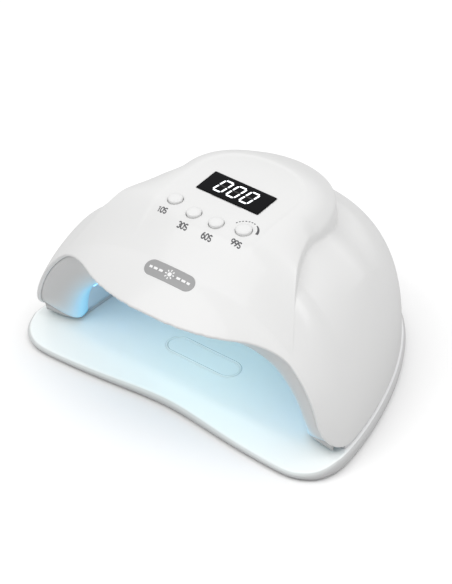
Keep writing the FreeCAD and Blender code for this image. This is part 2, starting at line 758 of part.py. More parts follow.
def make_button(name, x, y, radius):
    """One push button with a domed cap, an inner flange and a stem on its switch plunger."""
    plunger_top = -size("board_drop") + size("switch_height") + size("plunger_height")
    flange_top = -size("wall") - 1.0
    body = body_of(f"button_{name}")
    sketch = sketch_on(body, "cap_half_section", "XZ_Plane")
    crown = size("button_crown")
    corners = [(0, plunger_top), (1.5, plunger_top), (1.5, flange_top - 0.9),
               (radius + 0.6, flange_top - 0.9), (radius + 0.6, flange_top),
               (radius, flange_top), (radius, 0.3)]
    points = [Vector(px, py, 0) for px, py in corners]
    for a, b in zip(points, points[1:]):
        sketch.addGeometry(Part.LineSegment(a, b))
    top = Vector(radius * 0.15, crown, 0)
    middle = Vector(0, crown, 0)
    shoulder = Vector(radius * 0.72, crown - 0.32, 0)
    sketch.addGeometry(Part.Arc(points[-1], Vector(radius * 0.92, crown - 0.74, 0), shoulder))
    sketch.addGeometry(Part.Arc(shoulder, Vector(radius * 0.45, crown - 0.09, 0), top))
    sketch.addGeometry(Part.LineSegment(top, middle))
    sketch.addGeometry(Part.LineSegment(middle, points[0]))
    count = sketch.GeometryCount
    for index in range(count):
        sketch.addConstraint(Sketcher.Constraint("Coincident", index, 2, (index + 1) % count, 1))
    turn = body.newObject("PartDesign::Revolution", "Turned_cap")
    turn.Profile = sketch
    turn.ReferenceAxis = (sketch, ["V_Axis"])
    turn.Angle = 360
    body.Placement = panel_place(x, y, 0)
    keep(body, f"button_{name}")
    plunger = doc.addObject("Part::Cylinder", f"plunger_{name}")
    plunger.setExpression("Radius", "Sizes.plunger_radius")
    plunger.setExpression("Height", "Sizes.plunger_height + 1")
    plunger.Placement = panel_place(x, y, plunger_top - size("plunger_height") - 1)
    keep(plunger, f"plunger_{name}")


def make_badge():
    """A blank oval badge let into the front face."""
    badge = capsule(size("badge_length"), size("badge_width"), size("badge_thick"),
                    Vector(0, 0, -0.45))
    return feature("blank_badge", badge, badge_place())


# --- sensing, power and wiring ----------------------------------------------------------------

def make_hand_sensor():
    """The infrared pair that looks down into the mouth of the vault, on its small carrier."""
    lenses = [post(1.5, 7, x, SENSOR_Y, size("vault_height") - 0.8) for x in (-7, 7)]
    carrier = Part.makeBox(24, 7, 1.6, Vector(-12, SENSOR_Y - 3.5, size("vault_height") + 6.2))
    return feature("hand_sensor", carrier.fuse(lenses).removeSplitter())


def make_power_jack():
    """The barrel jack at the back, with its bore and centre contact."""
    body = jack_block(0)
    back = size("dome_rear") + 1.0
    middle = 17 + size("jack_height") / 2
    mouth = Vector(0, back - size("jack_bore_depth"), middle)
    bore = Part.makeCylinder(size("jack_bore_radius"), 20, mouth, Vector(0, 1, 0))
    return feature("power_jack", body.cut(bore))


def cable(label, route, radius):
    """A round wire swept along a smooth route."""
    curve = Part.BSplineCurve()
    curve.interpolate([Vector(*point) for point in route])
    path = Part.Wire(curve.toShape())
    start = Vector(*route[0])
    tangent = curve.tangent(curve.FirstParameter)[0]
    ring = Part.Wire(Part.makeCircle(radius, start, tangent))
    return feature(label, path.makePipeShell([ring], True, True))


def make_wiring():
    """The power lead from the jack up to the board, and the lead on to the light strips."""
    front = size("dome_rear") + 1.0 - size("jack_length")
    cable("power_lead", [(0, front - 2.2, 22), (0, front - 6, 27), (0, 64, 50), (0, 54, 78),
                         (6, 26, 92), (8, 9, 97), (8, 4, 99.5)], 1.6)
    cable("led_lead", [(-16, -38, 98), (-16, -36, 88), (-14, -28, 77), (-12, -20, 68.6)], 1.2)


def check_and_write():
    """Stops on any failed object or shape, then writes one file for each sub-part."""
    doc.recompute()
    for item in doc.Objects:
        if "Invalid" in item.State or "Error" in item.State:
            raise RuntimeError(f"{item.Name} failed: {item.State}")
    for piece in pieces:
        shape = piece.Shape
        if shape.isNull() or not shape.isValid() or not shape.Solids:
            raise RuntimeError(f"{piece.Label} has no valid solid")
    os.makedirs("parts", exist_ok=True)
    for piece in pieces:
        piece.Shape.exportStep(f"parts/{piece.Label}.step")
        print(piece.Label, len(piece.Shape.Solids), round(piece.Shape.Volume))


make_base_tray()
make_tray_feet()
make_magnets()
make_outer_shell()
make_inner_liner()
make_leds()
make_opening_bezel()
make_base_frame()
make_frame_screws()
make_window()
make_control_board()
make_board_screws()
make_display_module()
make_switches()
for spot in button_spots():
    make_button(*spot)
make_badge()
make_hand_sensor()
make_power_jack()
make_wiring()
check_and_write()
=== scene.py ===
"""UV curing lamp: the looks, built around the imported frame.

Shapes are worked out in millimetres in the frame's own axes and turned into metres
when a mesh is made.
"""
import json
import math

import bmesh
import bpy
import numpy as np
from mathutils import Matrix, Vector


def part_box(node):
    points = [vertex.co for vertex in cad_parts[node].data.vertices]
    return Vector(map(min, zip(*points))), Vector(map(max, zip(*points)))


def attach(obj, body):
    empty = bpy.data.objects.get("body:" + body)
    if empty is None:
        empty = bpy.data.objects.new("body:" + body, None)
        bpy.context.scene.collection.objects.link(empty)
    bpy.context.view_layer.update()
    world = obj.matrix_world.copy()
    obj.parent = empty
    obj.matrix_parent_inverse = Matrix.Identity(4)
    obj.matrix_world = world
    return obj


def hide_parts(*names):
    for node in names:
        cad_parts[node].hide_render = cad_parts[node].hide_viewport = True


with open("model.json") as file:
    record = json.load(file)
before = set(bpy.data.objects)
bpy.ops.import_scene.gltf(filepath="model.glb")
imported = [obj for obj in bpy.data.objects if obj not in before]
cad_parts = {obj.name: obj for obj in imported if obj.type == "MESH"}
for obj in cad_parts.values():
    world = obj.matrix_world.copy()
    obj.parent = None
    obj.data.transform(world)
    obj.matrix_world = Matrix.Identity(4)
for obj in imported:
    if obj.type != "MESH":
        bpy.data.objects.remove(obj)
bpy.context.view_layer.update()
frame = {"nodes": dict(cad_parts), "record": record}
MM = 0.001
BODIES = frame["record"]["behaviour"]["bodies"]


def box_mm(node):
    """A CAD node's lowest and highest corners in millimetres."""
    low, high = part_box(node)
    return np.array(low) / MM, np.array(high) / MM


# --- sizes read from the frame ----------------------------------------------------------------

TRAY_LOW, TRAY_HIGH = box_mm("base_tray")
SHELL_LOW, SHELL_HIGH = box_mm("outer_shell")
VAULT_LOW, VAULT_HIGH = box_mm("inner_liner")
WINDOW_LOW, WINDOW_HIGH = box_mm("display_window")

# The dome: its foot, crown and footprint, the wall's thickness and the powers of its curves.
DOME_BASE = SHELL_LOW[2] - 1.5
DOME_TOP = 104.0
DOME_HALF = 108.5
DOME_REAR = SHELL_HIGH[1]
SHOULDER = -60.0
WALL = 2.4
ROUND = 2.5
REAR_ROUND = 2.2
PLAN_CURVE = 1.5
FRONT_SLACK = 0.25
LEG_TUCK = 6.0
CROWN_DROP = 29.0

# The opening's edge: the legs' plane, the height of the lip's underside and its two radii.
LEG_FRONT = -69.5
LIP_HEIGHT = 74.4
LIP_RADIUS = 11.0
FOOT_RADIUS = 22.0

# The control panel: a tilted plane, with the window's half-sizes and its shift along the panel.
PANEL_Y = -14.0
PANEL_Z = 112.4
PANEL_TILT = math.radians(4.2)
PANEL_HALF = 35.0
WINDOW_X = (WINDOW_HIGH[0] - WINDOW_LOW[0]) / 2
WINDOW_Y = 8.75
WINDOW_SHIFT = 0.65

# The raised head, round behind its middle, and how far its border and its front stand out.
HEAD_RADIUS = 50.0
HEAD_MIDDLE = -4.0
HEAD_FLARE = 14.0
HEAD_REAR_FLAT = 26.0
HEAD_FALL = 12.5
SIDE_FALL = 8.5
REAR_FALL = 6.5
FALL_CURVE = 1.7
FRONT_RISE = 12.0
SHOULDER_RISE = 4.2
RECESS = 4.2
DISH = 0.55

# The shell's rings start at a pole on the head. The step at the head's edge is a blend from the
# head's surface (0) to the dome's (1), over these distances from the edge.
POLE_Y = -12.0
STEP_OUT = (-1.2, -0.8, -0.5, -0.28, -0.12, 0.0, 0.12, 0.3, 0.6)
STEP_MIX = (0.0, 0.03, 0.1, 0.22, 0.4, 0.6, 0.78, 0.9, 1.0)
STEP_START = 1.2

# The funnel: the front rows of the vault, the corner it turns round and its own thickness.
CORNER_Y = -61.5
CORNER_INSET = 7.0
FUNNEL_END = -46.0
FUNNEL_PULL = 0.8
SHEET = 1.2

# Printed marks and the badge, on the shell.
PRINT_LIFT = 0.08
BADGE_Y = -71.5
BADGE_SLOPE = math.radians(35.5)
BADGE_HALF = 17.0
BADGE_RADIUS = 5.0
BADGE_FACE = 0.27

# The tray: its floor, the level of its underside, the ramp along its front and the raised oval.
TRAY_FLOOR = 8.9
TRAY_UNDER = 6.9
RAMP_LENGTH = 20.0
RAMP_DROP = 4.6
OVAL_X = -6.0
OVAL_Y = -35.5
OVAL_HALF = 25.0
OVAL_RADIUS = 7.3


def smooth(share):
    """An eased step from 0 to 1."""
    share = np.clip(share, 0.0, 1.0)
    return share * share * (3 - 2 * share)


def evenly(line, count, short=0.0):
    """Points spaced evenly along a line, stopping a little short of its end if asked."""
    length = np.concatenate([[0], np.cumsum(np.linalg.norm(np.diff(line, axis=0), axis=1))])
    goal = np.linspace(0, length[-1] - short, count)
    return np.stack([np.interp(goal, length, line[:, k]) for k in range(3)], 1)


def soft_min(a, b, width):
    """The lower of two surfaces, with the crease between them rounded off."""
    mix = np.clip(0.5 + 0.5 * (b - a) / width, 0, 1)
    return b * (1 - mix) + a * mix - width * mix * (1 - mix)


# --- the dome and the raised head as surfaces over the plan ---------------------------------------

def dome_half(y):
    """Half-width of the footprint: full at the shoulder, drawn in a little at the legs."""
    share = np.clip((y - SHOULDER) / (DOME_REAR - SHOULDER), 0, 1)
    drawn_in = LEG_TUCK * (np.clip(-45.0 - y, 0, None) / 27.0) ** 2
    return (DOME_HALF - drawn_in) * (1 - share ** PLAN_CURVE) ** (1 / ROUND)


def dome_crown(y):
    """The dome's height along its middle: round behind, sinking towards the front."""
    rise = DOME_TOP - DOME_BASE
    behind = np.clip(1 - np.clip(y / DOME_REAR, 0, 1) ** REAR_ROUND, 0, 1) ** (1 / REAR_ROUND)
    before = CROWN_DROP * (np.clip(-20.0 - y, 0, None) / 71.0) ** 2.1
    return DOME_BASE + rise * behind - before


def dome_height(x, y):
    """The plain dome's height, a little slacker in section towards the front."""
    share = np.clip(np.abs(x) / np.maximum(dome_half(y), 1e-6), 0, 1)
    power = ROUND - FRONT_SLACK * smooth((-5.0 - y) / 45.0)
    return DOME_BASE + (dome_crown(y) - DOME_BASE) * (1 - share ** power) ** (1 / power)


def front_rise(y):
    """How far the front face stands above the plain dome."""
    return FRONT_RISE * smooth((y + 70.0) / 35.0)


def head_edge(y):
    """Half-width of the raised head: round behind, flaring out towards the front."""
    behind = np.sqrt(np.clip(HEAD_RADIUS ** 2 - (y - HEAD_MIDDLE) ** 2, 0, None))
    flare = HEAD_RADIUS + HEAD_FLARE * (np.clip(HEAD_MIDDLE - y, 0, None) / 38.0) ** 1.6
    return np.where(y > HEAD_MIDDLE, behind, flare)


def head_height(x, y):
    """The head's flat tilted top, its falling border, and the front face below it."""
    flat = PANEL_Z + (y - PANEL_Y) * math.tan(PANEL_TILT) - 0.004 * np.clip(y, 0, None) ** 2
    reach = np.hypot(x, y - HEAD_MIDDLE)
    turn = np.abs(x) / np.maximum(reach, 1e-6)
    inner = HEAD_REAR_FLAT + (PANEL_HALF - HEAD_REAR_FLAT) * turn ** 2
    behind = (reach - inner) / (HEAD_RADIUS - inner)
    beside = (np.abs(x) - PANEL_HALF) / (head_edge(np.minimum(y, HEAD_MIDDLE)) - PANEL_HALF)
    share = np.clip(np.where(y > HEAD_MIDDLE, behind, beside), 0, 1.3)
    sweep = np.clip((y - HEAD_MIDDLE) / HEAD_RADIUS, 0, 1)
    ahead = smooth((HEAD_MIDDLE + 2.0 - y) / 14.0)
    depth = HEAD_FALL - (HEAD_FALL - REAR_FALL) * sweep ** 2 - (HEAD_FALL - SIDE_FALL) * ahead
    fall = depth * share ** FALL_CURVE
    return soft_min(flat - fall, dome_height(x, y) + front_rise(y), 2.5) - panel_dish(x, y)


def shoulder_rise(x, y):
    """A gentle swelling of the dome on both sides of the head."""
    along = smooth((y + 60.0) / 25.0) * (1 - smooth((y - 2.0) / 22.0))
    return SHOULDER_RISE * along * (1 - smooth((np.abs(x) - 68.0) / 36.0))


def panel_dish(x, y):
    """The shallow dish that the control panel lies in, open towards the front."""
    back = np.clip(y + 8.0, 0, None) / 31.2
    reach = ((np.abs(x) / 34.5) ** 2.2 + back ** 2.2) ** (1 / 2.2)
    return DISH * (1 - smooth((reach - 0.94) / 0.08)) * smooth((y + 66.0) / 24.0)


def recess_depth(x, y):
    """The finger recess scooped out of each flank beside the head."""
    along = np.clip((y + 22.0) / 56.0, 0, 1)
    ridge_x = 79.5 - 12.5 * along ** 1.6
    inner_x = head_edge(y) - 4.0
    share = np.clip((np.abs(x) - inner_x) / (ridge_x - inner_x), 0, 1)
    ends = smooth((y + 24.0) / 26.0) * (1 - smooth((y - 24.0) / 16.0))
    return RECESS * ends * (1 - share ** 2.2) * (share < 1)


def outer_height(x, y):
    """The dome's surface outside the head, with the front face easing into its flanks."""
    keep = 1 - smooth((y + 54.0) / 26.0)
    aside = 1 - smooth((np.abs(x) - 67.0) / 42.0)
    front, side = front_rise(y) * keep * aside, shoulder_rise(x, y)
    higher = (front + side + np.sqrt((front - side) ** 2 + 0.5) - 0.707) / 2
    return dome_height(x, y) + higher - recess_depth(x, y)


def lip_front(z):
    """Where the opening's edge stands at the height z, seen from the side."""
    foot_z = SHELL_LOW[2] + FOOT_RADIUS
    low = LEG_FRONT + FOOT_RADIUS - np.sqrt(np.clip(FOOT_RADIUS ** 2 - (foot_z - z) ** 2, 0, None))
    arc_z = LIP_HEIGHT - LIP_RADIUS
    arc = np.sqrt(np.clip(LIP_RADIUS ** 2 - (z - arc_z) ** 2, 0, None))
    high = LEG_FRONT - LIP_RADIUS + arc
    line = np.where(z < foot_z, low, np.where(z < arc_z, LEG_FRONT, high))
    return np.where(z >= LIP_HEIGHT, -1000.0, line)


def head_reach(angle):
    """Distance from the pole to the head's edge in each direction."""
    near, far = np.zeros_like(angle), np.full_like(angle, 110.0)
    for _ in range(40):
        middle = (near + far) / 2
        x, y = middle * np.cos(angle), POLE_Y + middle * np.sin(angle)
        inside = (np.abs(x) < head_edge(y)) & (y < HEAD_MIDDLE + HEAD_RADIUS)
        near, far = np.where(inside, middle, near), np.where(inside, far, middle)
    front = 54.0 / np.maximum(-np.sin(angle), 0.2)
    return soft_min(near, front, 8.0)


def step_band(angle, edge):
    """How far the step at the head's edge is spread: narrow beside, fading out at the front."""
    return 1 + 2 * smooth((-POLE_Y - edge * np.sin(angle) - 44.0) / 14.0)


def shell_height(x, y):
    """The finished shell's height: the head inside its edge, the dome outside it."""
    x, y = np.atleast_1d(x), np.atleast_1d(y)
    angle = np.arctan2(y - POLE_Y, x)
    edge = head_reach(angle)
    out = (np.hypot(x, y - POLE_Y) - edge) / step_band(angle, edge)
    mix = np.interp(out, STEP_OUT, STEP_MIX)
    return (1 - mix) * head_height(x, y) + mix * outer_height(x, y)


def surface_spokes(angle, count):
    """The dome outside the head along each direction, from the head's edge to its boundary."""
    edge = head_reach(angle)
    start = edge + STEP_START * step_band(angle, edge)
    near, far = start.copy(), np.full_like(angle, 175.0)
    for _ in range(45):
        middle = (near + far) / 2
        x, y = middle * np.cos(angle), POLE_Y + middle * np.sin(angle)
        inside = (outer_height(x, y) > SHELL_LOW[2]) & (np.abs(x) < dome_half(y)) & (y < DOME_REAR)
        near, far = np.where(inside, middle, near), np.where(inside, far, middle)
    share = 1 - (1 - np.linspace(0, 1, 500)) ** 3
    reach = start[:, None] + (near - start)[:, None] * share[None, :]
    x = reach * np.cos(angle)[:, None]
    y = POLE_Y + reach * np.sin(angle)[:, None]
    z = outer_height(x, y)
    path = np.stack([x, y, z], 2)
    cut = y - lip_front(z)
    rows = []
    for line, side in zip(path, cut):
        crossing = np.where(side < 0)[0]
        if len(crossing) and crossing[0] > 0:
            k = crossing[0]
            mix = side[k - 1] / (side[k - 1] - side[k])
            line = np.vstack([line[:k], line[k - 1] + mix * (line[k] - line[k - 1])])
        rows.append(evenly(line, count, WALL / 2))
    return np.array(rows)


def spoke_angles(count):
    """Directions spread so that the shell's boundary and the head's edge are evenly divided."""
    angle = np.linspace(-math.pi / 2, math.pi / 2, 1400)
    rim = surface_spokes(angle, 2)[:, 1]
    reach = head_reach(angle)
    edge = np.stack([reach * np.cos(angle), reach * np.sin(angle)], 1)
    rim_step = np.linalg.norm(np.diff(rim, axis=0), axis=1)
    edge_step = np.linalg.norm(np.diff(edge, axis=0), axis=1)
    weight = rim_step / rim_step.sum() + 0.8 * edge_step / edge_step.sum()
    total = np.concatenate([[0], np.cumsum(weight)])
    half = np.interp(np.linspace(0, total[-1], count + 1), total, angle)
    return np.concatenate([half, math.pi - half[-2:0:-1]])


def normals_of(grid):
    """Outward normals of a grid whose second axis runs round in a closed ring."""
    along = np.gradient(grid, axis=0)
    around = np.roll(grid, -1, 1) - np.roll(grid, 1, 1)
    normal = np.cross(along, around)
    return normal / np.maximum(np.linalg.norm(normal, axis=2, keepdims=True), 1e-9)


# --- mesh helpers ---------------------------------------------------------------------------------

def make_mesh(name, points, faces):
    """A smooth-shaded object from points in millimetres, with its faces turned outwards."""
    mesh = bpy.data.meshes.new(name)
    mesh.from_pydata((np.asarray(points, float) * MM).tolist(), [], faces)
    mesh.validate()
    work = bmesh.new()
    work.from_mesh(mesh)
    bmesh.ops.remove_doubles(work, verts=work.verts, dist=1e-6)
    bmesh.ops.recalc_face_normals(work, faces=work.faces)
    work.to_mesh(mesh)
    work.free()
    mesh.polygons.foreach_set("use_smooth", [True] * len(mesh.polygons))
    piece = bpy.data.objects.new(name, mesh)
    bpy.context.scene.collection.objects.link(piece)
    return piece


def ring_faces(rows, columns, base=0):
    """Quads between successive closed rings."""
    faces = []
    for i in range(rows - 1):
        for j in range(columns):
            k = (j + 1) % columns
            a, b = base + i * columns, base + (i + 1) * columns
            faces.append((a + j, a + k, b + k, b + j))
    return faces


def closed_rings(name, rings):
    """A solid from closed rings; the first and last rings are closed with fans."""
    rings = np.asarray(rings, float)
    rows, columns = rings.shape[:2]
    points = np.vstack([rings.reshape(-1, 3), rings[0].mean(0), rings[-1].mean(0)])
    faces = ring_faces(rows, columns)
    first, last = rows * columns, rows * columns + 1
    end = (rows - 1) * columns
    for j in range(columns):
        k = (j + 1) % columns
        faces.append((first, k, j))
        faces.append((last, end + j, end + k))
    return make_mesh(name, points, faces)


def sheet_solid(name, front, back):
    """A closed sheet from two open grids of the same size, joined all round their edges."""
    rows, columns = front.shape[:2]
    points = np.vstack([front.reshape(-1, 3), back.reshape(-1, 3)])
    base = rows * columns
    faces = []
    for i in range(rows - 1):
        for j in range(columns - 1):
            a, b = i * columns + j, (i + 1) * columns + j
            faces.append((a, a + 1, b + 1, b))
            faces.append((base + a, base + b, base + b + 1, base + a + 1))
    edge = [(i, 0) for i in range(rows)] + [(rows - 1, j) for j in range(1, columns)]
    edge += [(i, columns - 1) for i in range(rows - 2, -1, -1)]
    edge += [(0, j) for j in range(columns - 2, 0, -1)]
    index = [i * columns + j for i, j in edge]
    for a, b in zip(index, index[1:] + index[:1]):
        faces.append((a, b, base + b, base + a))
    return make_mesh(name, points, faces)


def lathe(name, profile, place, steps=96):
    """A turned solid: the profile is radius, height pairs from axis to axis."""
    turn = np.linspace(0, 2 * math.pi, steps, endpoint=False)
    rings = []
    for radius, height in profile:
        ring = [(radius * math.cos(a), radius * math.sin(a), height) for a in turn]
        rings.append([place @ Vector(p) for p in ring])
    return closed_rings(name, np.array(rings, float))


def on_panel(x, y, z):
    """The tilted control panel's own frame, in millimetres."""
    tilt = Matrix.Rotation(PANEL_TILT, 4, "X")
    return Matrix.Translation((0, PANEL_Y, PANEL_Z)) @ tilt @ Matrix.Translation((x, y, z))


def dress(piece, material, body, slot, *nodes):
    """Gives a piece its material, its body and the CAD nodes it stands for."""
    piece.data.materials.clear()
    piece.data.materials.append(material)
    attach(piece, body)
    if nodes:
        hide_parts(*nodes)
    return piece


def subtract(piece, cutters):
    """Cuts closed meshes out of a piece for good."""
    for cutter in cutters:
        step = piece.modifiers.new("cut", "BOOLEAN")
        step.operation = "DIFFERENCE"
        step.solver = "EXACT"
        step.object = cutter
    bpy.context.view_layer.update()
    graph = bpy.context.evaluated_depsgraph_get()
    result = bpy.data.meshes.new_from_object(piece.evaluated_get(graph))
    piece.modifiers.clear()
    piece.data = result
    for cutter in cutters:
        bpy.data.objects.remove(cutter)
    return piece


# --- materials ------------------------------------------------------------------------------------

def new_material(name):
    """A node material with its principled shader."""
    material = bpy.data.materials.new(name)
    material.use_nodes = True
    nodes = material.node_tree.nodes
    return material, nodes, material.node_tree.links, nodes["Principled BSDF"]


def plastic(name, colour, roughness, coat=0.0, grain=900.0, grain_depth=0.02, mottling=0.012):
    """Moulded plastic: faint tone drift, uneven gloss and the fine skin of the mould."""
    material, nodes, links, shader = new_material(name)
    place = nodes.new("ShaderNodeTexCoord")
    drift = nodes.new("ShaderNodeTexNoise")
    drift.inputs["Scale"].default_value = 28.0
    drift.inputs["Detail"].default_value = 3.0
    links.new(place.outputs["Object"], drift.inputs["Vector"])
    tone = nodes.new("ShaderNodeMix")
    tone.data_type = "RGBA"
    links.new(drift.outputs["Fac"], tone.inputs["Factor"])
    tone.inputs["A"].default_value = (*[c * (1 - mottling) for c in colour], 1)
    tone.inputs["B"].default_value = (*[min(c * (1 + mottling), 1) for c in colour], 1)
    links.new(tone.outputs["Result"], shader.inputs["Base Color"])
    gloss = nodes.new("ShaderNodeMapRange")
    gloss.inputs["To Min"].default_value = roughness * 0.85
    gloss.inputs["To Max"].default_value = roughness * 1.15
    links.new(drift.outputs["Fac"], gloss.inputs["Value"])
    links.new(gloss.outputs["Result"], shader.inputs["Roughness"])
    skin = nodes.new("ShaderNodeTexNoise")
    skin.inputs["Scale"].default_value = grain
    links.new(place.outputs["Object"], skin.inputs["Vector"])
    bump = nodes.new("ShaderNodeBump")
    bump.inputs["Strength"].default_value = grain_depth
    bump.inputs["Distance"].default_value = 0.0004
    links.new(skin.outputs["Fac"], bump.inputs["Height"])
    links.new(bump.outputs["Normal"], shader.inputs["Normal"])
    shader.inputs["Coat Weight"].default_value = coat
    shader.inputs["Coat Roughness"].default_value = 0.08
    return material


def paint_light_fade(material, colour, start, end, facing_up=False):
    """Paints light or shade into a plastic by fading it into another colour: along Y in metres, or
    on what faces upwards.
    """
    nodes, links = material.node_tree.nodes, material.node_tree.links
    base = nodes["Principled BSDF"].inputs["Base Color"]
    before = base.links[0].from_socket
    source = nodes.new("ShaderNodeNewGeometry" if facing_up else "ShaderNodeTexCoord")
    axes = nodes.new("ShaderNodeSeparateXYZ")
    links.new(source.outputs["Normal" if facing_up else "Object"], axes.inputs["Vector"])
    fade = nodes.new("ShaderNodeMapRange")
    fade.interpolation_type = "SMOOTHSTEP"
    fade.inputs["From Min"].default_value = start
    fade.inputs["From Max"].default_value = end
    links.new(axes.outputs["Z" if facing_up else "Y"], fade.inputs["Value"])
    tone = nodes.new("ShaderNodeMix")
    tone.data_type = "RGBA"
    links.new(fade.outputs["Result"], tone.inputs["Factor"])
    links.new(before, tone.inputs["A"])
    tone.inputs["B"].default_value = (*colour, 1)
    links.new(tone.outputs["Result"], base)
    return fade.outputs["Result"]


def metal(name, colour, roughness):
    """Plated steel with fine scratches."""
    material, nodes, links, shader = new_material(name)
    shader.inputs["Metallic"].default_value = 1.0
    shader.inputs["Base Color"].default_value = (*colour, 1)
    place = nodes.new("ShaderNodeTexCoord")
    scratch = nodes.new("ShaderNodeTexNoise")
    scratch.inputs["Scale"].default_value = 1200.0
    links.new(place.outputs["Object"], scratch.inputs["Vector"])
    gloss = nodes.new("ShaderNodeMapRange")
    gloss.inputs["To Min"].default_value = roughness * 0.7
    gloss.inputs["To Max"].default_value = roughness * 1.4
    links.new(scratch.outputs["Fac"], gloss.inputs["Value"])
    links.new(gloss.outputs["Result"], shader.inputs["Roughness"])
    return material


def glowing(name, colour, strength, base=(0.9, 0.95, 1.0)):
    """A lit surface, a little brighter at its middle than at its edges."""
    material, nodes, links, shader = new_material(name)
    shader.inputs["Base Color"].default_value = (*base, 1)
    shader.inputs["Roughness"].default_value = 0.25
    shader.inputs["Emission Color"].default_value = (*colour, 1)
    facing = nodes.new("ShaderNodeLayerWeight")
    facing.inputs["Blend"].default_value = 0.35
    power = nodes.new("ShaderNodeMapRange")
    power.inputs["To Min"].default_value = strength
    power.inputs["To Max"].default_value = strength * 0.75
    links.new(facing.outputs["Facing"], power.inputs["Value"])
    links.new(power.outputs["Result"], shader.inputs["Emission Strength"])
    return material


def paint_funnel_shade_and_glow():
    """The funnel's grey, which is painted shade, turning pale blue towards the vault with a painted
    glow: an emission that stands in for the vault's light.
    """
    material = plastic("bezel_shade_glow_paint", (0.6, 0.6, 0.6), 0.34, coat=0.1)
    # Painted light: a pale blue tint towards the vault, standing in for the blue light falling
    # there.
    fade = paint_light_fade(material, (0.62, 0.8, 0.9), -0.0655, -0.052)
    shader = material.node_tree.nodes["Principled BSDF"]
    # Painted glow: the funnel emits faint blue light towards the vault, though it is no lamp.
    shader.inputs["Emission Color"].default_value = (0.01, 0.2, 0.34, 1)
    material.node_tree.links.new(fade, shader.inputs["Emission Strength"])
    return material


def tray_white_painted_shade():
    """The tray's white with painted shade: a darker white on its sides, a lighter one painted on
    what faces upwards.
    """
    material = plastic("tray_white_painted_shade", (0.56, 0.56, 0.563), 0.3, coat=0.2)
    # Painted shade: the lighter white only where the surface faces upwards, so the sides stay
    # darker.
    paint_light_fade(material, (0.86, 0.865, 0.87), 0.8, 0.97, facing_up=True)
    return material


def window_black():
    """The window's black, with only a weak reflection."""
    material = plastic("window_black", (0.004, 0.004, 0.005), 0.2, mottling=0.0)
    material.node_tree.nodes["Principled BSDF"].inputs["Specular IOR Level"].default_value = 0.06
    return material


WHITE_SHELL = plastic("white_gloss", (0.725, 0.725, 0.722), 0.3, coat=0.3)
# The tray's colour holds painted shade on its sides.
TRAY_PAINTED_SHADE = tray_white_painted_shade()
WHITE_BUTTON = plastic("button_white", (0.74, 0.74, 0.738), 0.3, coat=0.2)
# Grey that is painted shade: the sills and the CAD bezel are made darker than the white shell, as
# if unlit.
BEZEL_PAINTED_SHADE = plastic("bezel_grey_painted_shade", (0.5, 0.5, 0.5), 0.34, coat=0.1)
# The funnel's material: painted shade in its grey, painted blue glow towards the vault.
FUNNEL_PAINTED_SHADE_GLOW = paint_funnel_shade_and_glow()
VAULT_WHITE = plastic("vault_white", (0.72, 0.84, 0.92), 0.3, coat=0.1)
FRAME_WHITE = plastic("frame_white", (0.6, 0.6, 0.61), 0.5)
BLACK_GLASS = window_black()
BADGE_GREY = plastic("badge_grey", (0.31, 0.31, 0.312), 0.35, coat=0.1)
PRINT_GREY = plastic("print_grey", (0.075, 0.075, 0.08), 0.45)
PRINT_WHITE = plastic("print_white", (0.82, 0.82, 0.82), 0.4)
BLACK_PLASTIC = plastic("black_plastic", (0.012, 0.012, 0.013), 0.45)
BOARD_GREEN = plastic("board_green", (0.01, 0.09, 0.035), 0.4, mottling=0.1)
RUBBER = plastic("rubber_black", (0.02, 0.02, 0.02), 0.85, grain=1500.0, grain_depth=0.2)
STEEL = metal("zinc_steel", (0.66, 0.66, 0.68), 0.3)
DIGIT_GLOW = glowing("digit_glow", (0.95, 0.98, 1.0), 1.2)
LED_GLOW = glowing("led_glow", (0.12, 0.45, 1.0), 2.2)


# --- the shell ------------------------------------------------------------------------------------

def shell_grid():
    """The shell's outer surface as rings from the pole outwards: head, step, then dome."""
    angle = spoke_angles(210)
    edge = head_reach(angle)
    band = step_band(angle, edge)
    inside = edge - 2.2 * band
    reaches = [inside * part for part in 1 - (1 - np.linspace(0.02, 1, 64)) ** 1.5]
    reaches += [edge + out * band for out in STEP_OUT]
    rings = []
    for reach in reaches:
        x, y = reach * np.cos(angle), POLE_Y + reach * np.sin(angle)
        rings.append(np.stack([x, y, shell_height(x, y)], 1))
    outside = surface_spokes(angle, 96)
    return np.array(rings + [outside[:, k] for k in range(outside.shape[1])])


def make_shell():
    """The white dome with its raised head, its rolled lower edge and its inner skin."""
    outer = shell_grid()
    normal = normals_of(outer)
    calm = normal.copy()
    for _ in range(6):
        calm[1:-1] = (calm[:-2] + calm[1:-1] * 2 + calm[2:]) / 4
    calm /= np.linalg.norm(calm, axis=2, keepdims=True)
    last, lead = outer[-1], outer[-1] - outer[-2]
    lead /= np.linalg.norm(lead, axis=1, keepdims=True)
    up = calm[-1]
    lead -= (lead * up).sum(1, keepdims=True) * up
    lead /= np.linalg.norm(lead, axis=1, keepdims=True)
    half = WALL / 2
    roll = [last - up * half + half * (math.cos(a) * up + math.sin(a) * lead)
            for a in np.linspace(0, math.pi, 9)[1:-1]]
    inner = (outer - calm * WALL)[::-1]
    return closed_rings("shell_dome", np.vstack([outer, np.array(roll), inner]))


def panel_cutters():
    """Closed meshes for the window's seat and the four button holes."""
    cutters = []
    seat_gap, button_gap = 0.25, 0.28
    outline = rounded_rectangle(WINDOW_X + seat_gap, WINDOW_Y + seat_gap, 0.7, 6)
    rings = [[on_panel(x, WINDOW_SHIFT + y, z) @ Vector((0, 0, 0)) for x, y in outline]
             for z in (-1.6, 6.0)]
    cutters.append(closed_rings("cut_window", np.array(rings, float)))
    for name, x, y, radius in BUTTONS:
        profile = [(radius + button_gap, -9.0), (radius + button_gap, 5.0)]
        cutters.append(lathe("cut_" + name, profile, on_panel(x, y, 0), 72))
    return cutters


